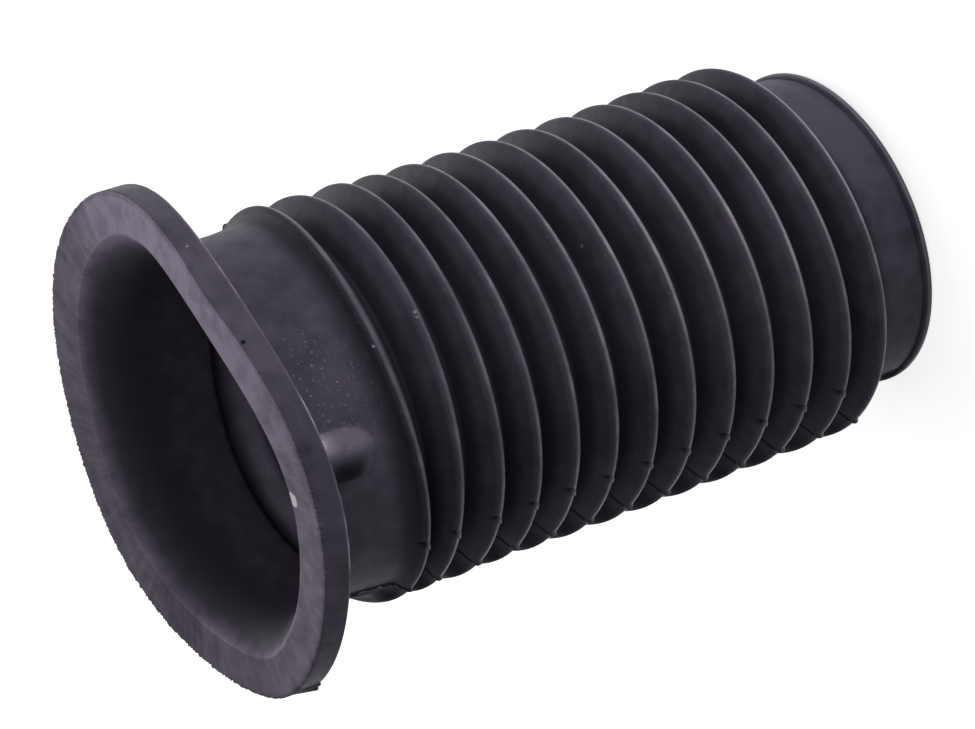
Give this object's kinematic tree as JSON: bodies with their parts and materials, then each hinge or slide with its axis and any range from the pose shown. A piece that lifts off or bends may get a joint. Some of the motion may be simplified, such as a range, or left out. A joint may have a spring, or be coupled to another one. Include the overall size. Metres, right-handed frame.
{
  "type": "rubber bellows boot",
  "caption": "Moulded rubber bellows boot: a row of rounded folds between a flanged, funnel-shaped mouth and a plain end collar with a beaded rim.",
  "frame": {"origin": "centre of the end collar's free rim, on which the boot stands", "axes": "+Z along the boot's axis towards the flanged mouth; -Y faces the viewer; the bump on the throat lies 18 degrees from -Y towards -X"},
  "size_m": [0.097, 0.097, 0.1464],
  "materials": {
    "black_rubber": "satin, lightly bloomed"
  },
  "bodies": {
    "root": {"bellows_boot": "black_rubber"}
  },
  "joints": []
}
